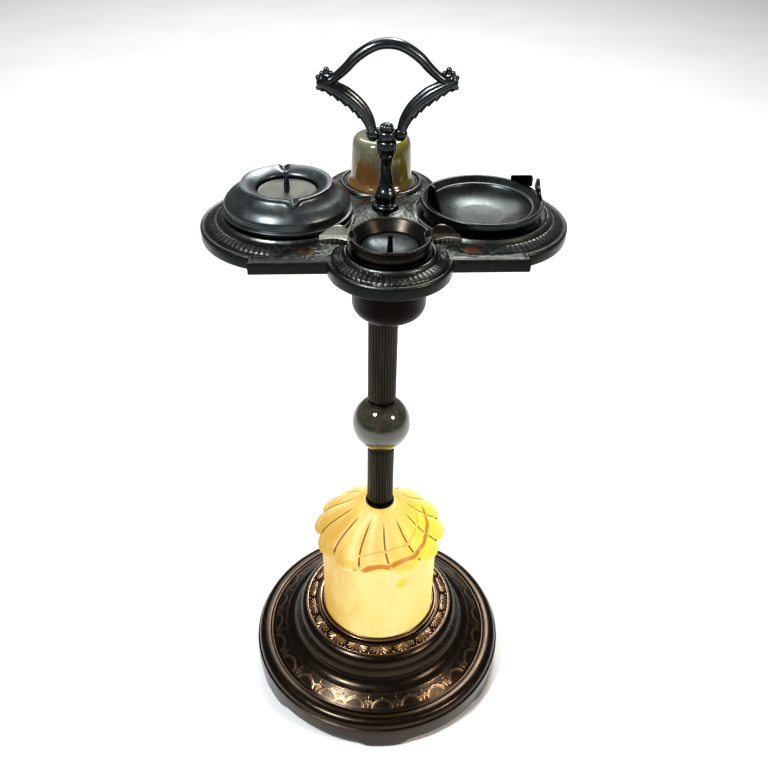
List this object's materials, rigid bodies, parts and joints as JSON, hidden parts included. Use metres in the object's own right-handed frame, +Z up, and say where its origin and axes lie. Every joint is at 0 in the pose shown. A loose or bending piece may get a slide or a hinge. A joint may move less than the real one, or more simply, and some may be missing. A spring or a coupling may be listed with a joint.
{
  "type": "smoking stand",
  "caption": "Art Deco smoking stand: lit glass base, reeded column with a glass ball, lobed tray with push-down ash units, bowl, glass bell and carrying handle.",
  "frame": {"origin": "on the column's axis, at the floor", "axes": "+Z up; the front ash unit faces -Y; the left ash unit is on -X and the bowl on +X"},
  "size_m": [0.3042, 0.296, 0.7102],
  "materials": {
    "bronze": "polished antique bronze plating, worn copper on the ornament",
    "iron": "rough casting",
    "antique": "antique nickel, dark in the hollows",
    "satin": "satin, slightly hazed",
    "polished": "polished, dark",
    "chrome": "darkened chrome",
    "brass": "plain",
    "steel": "zinc plated",
    "glow": "slag glass, lit from inside",
    "marble": "dark marbled glass",
    "onyx": "marbled glass",
    "bulb": "frosted, lit",
    "porcelain": "glazed",
    "rubber": "matt"
  },
  "bodies": {
    "stand": {"base_casting": "bronze", "cord_bushing": "rubber", "base_ballast": "iron", "pipe_foot_nut": "steel", "pipe_foot_washer": "steel", "ballast_bolt_1": "steel", "ballast_bolt_2": "steel", "ballast_bolt_3": "steel", "gallery_ring": "bronze", "glass_shade": "glow", "socket_bracket": "steel", "pipe_floor_nut": "brass", "lamp_socket": "porcelain", "bulb_screw_cap": "brass", "lamp_bulb": "bulb", "shade_pad": "rubber", "column_collar": "bronze", "threaded_pipe": "steel", "lower_reeded_tube": "bronze", "ball_seat_lower": "bronze", "glass_ball": "marble", "ball_seat_upper": "bronze", "upper_reeded_tube": "bronze", "column_cap": "bronze", "tray_casting": "antique", "handle_stem": "chrome", "handle_loop": "chrome", "handle_finial": "chrome"},
    "left_ash_unit": {"left_pan": "satin", "left_cover": "satin", "left_spring": "steel"},
    "left_plunger": {"left_drop_plate": "satin", "left_plunger_post": "antique"},
    "front_ash_unit": {"front_cup": "antique", "front_rim": "polished", "front_spring": "steel", "front_rest_left": "satin", "front_rest_right": "satin"},
    "front_plunger": {"front_drop_dish": "satin", "front_plunger_post": "antique"},
    "right_ash_bowl": {"right_bowl": "polished", "right_leaf_clip": "antique", "right_plate_clip": "antique", "right_serrated_clip": "antique"},
    "bell": {"glass_bell": "onyx"}
  },
  "joints": [
    {"name": "left_unit_lift", "type": "slide", "parent": "stand", "child": "left_ash_unit", "axis": [0, 0, 1], "range_m": [0, 0.06]},
    {"name": "left_plate_press", "type": "slide", "parent": "left_ash_unit", "child": "left_plunger", "axis": [0, 0, -1], "range_m": [0, 0.01], "stiffness_N_per_m": 300, "springref_m": -0.004, "deforming": ["left_spring"]},
    {"name": "front_unit_lift", "type": "slide", "parent": "stand", "child": "front_ash_unit", "axis": [0, 0, 1], "range_m": [0, 0.08]},
    {"name": "front_plate_press", "type": "slide", "parent": "front_ash_unit", "child": "front_plunger", "axis": [0, 0, -1], "range_m": [0, 0.01], "stiffness_N_per_m": 300, "springref_m": -0.004, "deforming": ["front_spring"]},
    {"name": "right_bowl_lift", "type": "slide", "parent": "stand", "child": "right_ash_bowl", "axis": [0, 0, 1], "range_m": [0, 0.04]},
    {"name": "bell_lift", "type": "slide", "parent": "stand", "child": "bell", "axis": [0, 0, 1], "range_m": [0, 0.06]}
  ]
}
